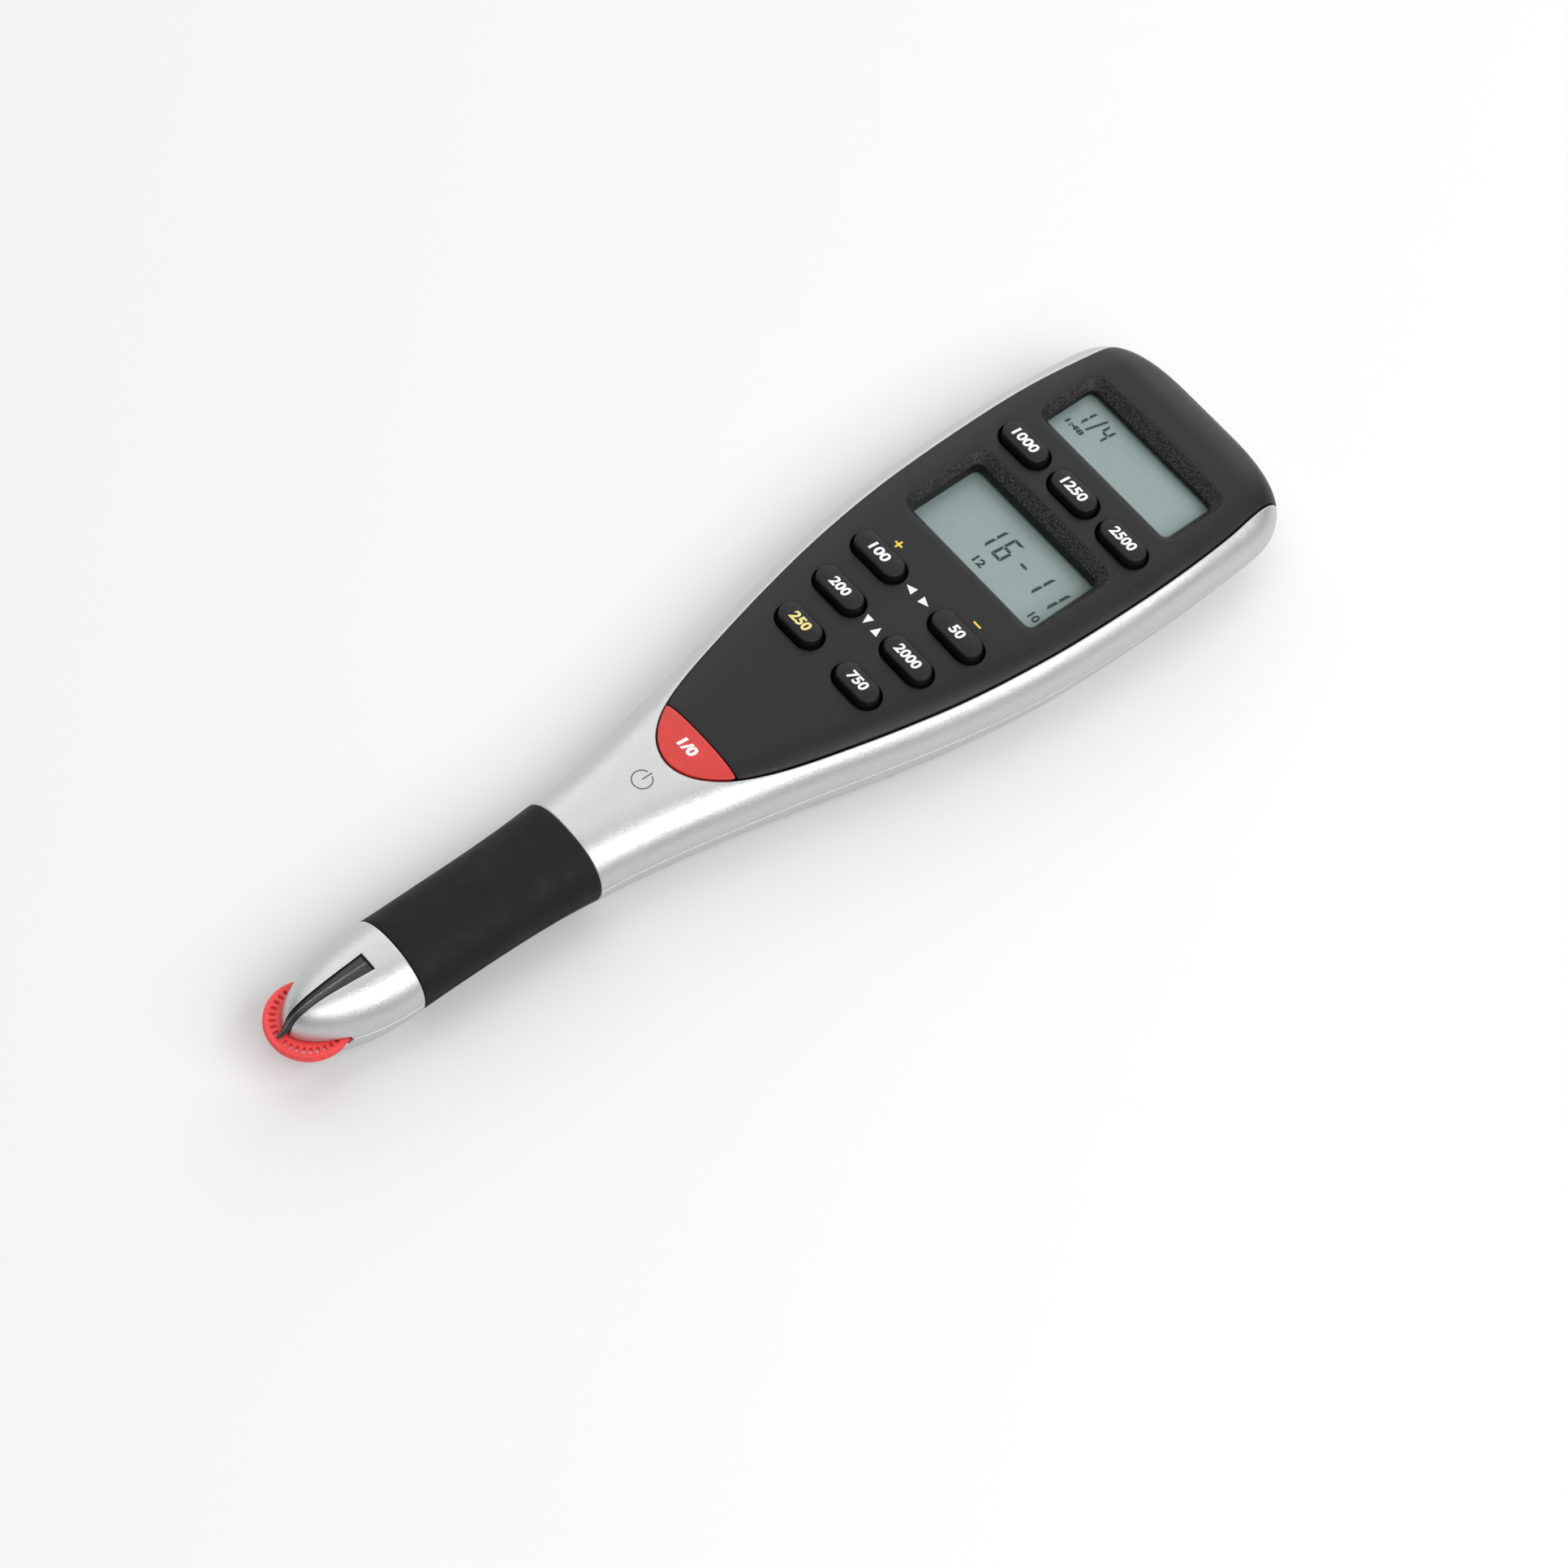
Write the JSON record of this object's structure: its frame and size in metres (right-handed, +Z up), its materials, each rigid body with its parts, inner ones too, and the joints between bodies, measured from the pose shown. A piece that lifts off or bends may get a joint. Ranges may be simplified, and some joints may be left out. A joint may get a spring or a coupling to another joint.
{
  "type": "digital_plan_measure",
  "caption": "Slim hand-held digital plan measure with a silver case, a matt black grip, a red rolling wheel, a black face with two liquid crystal displays, pill-shaped keys and a red power key.",
  "frame": {"origin": "centre of the underside of the box round the tool as it lies on its back", "axes": "X to the right as the face is read, Y from the wheel towards the top end, Z up out of the face"},
  "size_m": [0.0458, 0.182, 0.0159],
  "materials": {
    "silver_paint": "satin",
    "grip_rubber": "matte",
    "face_black": "satin",
    "clear_window": "polished",
    "display_glass": "satin",
    "connector_rubber": "matte",
    "mat_rubber": "matte",
    "key_black": "satin",
    "signal_red": "satin",
    "board_green": "satin",
    "gold_contact": "satin",
    "chip_black": "matte",
    "pointer_grey": "satin",
    "wheel_red": "satin",
    "steel": "satin",
    "ribbon_grey": "satin",
    "cell_steel": "satin",
    "spring_plate": "satin"
  },
  "bodies": {
    "base": {"upper_housing": "silver_paint", "lower_housing": "silver_paint", "grip_upper": "grip_rubber", "grip_lower": "grip_rubber", "faceplate": "face_black", "upper_window": "clear_window", "main_window": "clear_window", "upper_display": "display_glass", "main_display": "display_glass", "upper_connector": "connector_rubber", "main_connector": "connector_rubber", "keypad_mat": "mat_rubber", "main_board": "board_green", "contact_pads": "gold_contact", "board_chip": "chip_black", "pointer_insert": "pointer_grey", "axle_pin": "steel", "light_gate": "chip_black", "encoder_board": "board_green", "ribbon": "ribbon_grey", "cell_front": "cell_steel", "cell_rear": "cell_steel", "cell_contacts": "spring_plate", "case_screws": "steel"},
    "wheel": {"encoder_wheel": "wheel_red"},
    "button_1": {"key_1": "key_black"},
    "button_2": {"key_2": "key_black"},
    "button_3": {"key_3": "key_black"},
    "button_4": {"key_4": "key_black"},
    "button_5": {"key_5": "key_black"},
    "button_6": {"key_6": "key_black"},
    "button_7": {"key_7": "key_black"},
    "button_8": {"key_8": "key_black"},
    "button_9": {"key_9": "key_black"},
    "power": {"power_key": "signal_red"},
    "door": {"battery_door": "silver_paint", "cell_bridge": "spring_plate"}
  },
  "joints": [
    {"name": "wheel_spin", "type": "hinge", "parent": "base", "child": "wheel", "pos_m": [0, -0.08453, 0.0076], "axis": [0, 0, 1], "continuous": true},
    {"name": "button_1_press", "type": "slide", "parent": "base", "child": "button_1", "axis": [0, 0, -1], "range_m": [0, 0.0008], "stiffness_N_per_m": 1200},
    {"name": "button_2_press", "type": "slide", "parent": "base", "child": "button_2", "axis": [0, 0, -1], "range_m": [0, 0.0008], "stiffness_N_per_m": 1200},
    {"name": "button_3_press", "type": "slide", "parent": "base", "child": "button_3", "axis": [0, 0, -1], "range_m": [0, 0.0008], "stiffness_N_per_m": 1200},
    {"name": "button_4_press", "type": "slide", "parent": "base", "child": "button_4", "axis": [0, 0, -1], "range_m": [0, 0.0008], "stiffness_N_per_m": 1200},
    {"name": "button_5_press", "type": "slide", "parent": "base", "child": "button_5", "axis": [0, 0, -1], "range_m": [0, 0.0008], "stiffness_N_per_m": 1200},
    {"name": "button_6_press", "type": "slide", "parent": "base", "child": "button_6", "axis": [0, 0, -1], "range_m": [0, 0.0008], "stiffness_N_per_m": 1200},
    {"name": "button_7_press", "type": "slide", "parent": "base", "child": "button_7", "axis": [0, 0, -1], "range_m": [0, 0.0008], "stiffness_N_per_m": 1200},
    {"name": "button_8_press", "type": "slide", "parent": "base", "child": "button_8", "axis": [0, 0, -1], "range_m": [0, 0.0008], "stiffness_N_per_m": 1200},
    {"name": "button_9_press", "type": "slide", "parent": "base", "child": "button_9", "axis": [0, 0, -1], "range_m": [0, 0.0008], "stiffness_N_per_m": 1200},
    {"name": "power_press", "type": "slide", "parent": "base", "child": "power", "axis": [0, 0, -1], "range_m": [0, 0.0008], "stiffness_N_per_m": 1200},
    {"name": "door_open", "type": "hinge", "parent": "base", "child": "door", "pos_m": [0, 0.03875, 0], "axis": [1, 0, 0], "range_deg": [0, 60]}
  ]
}
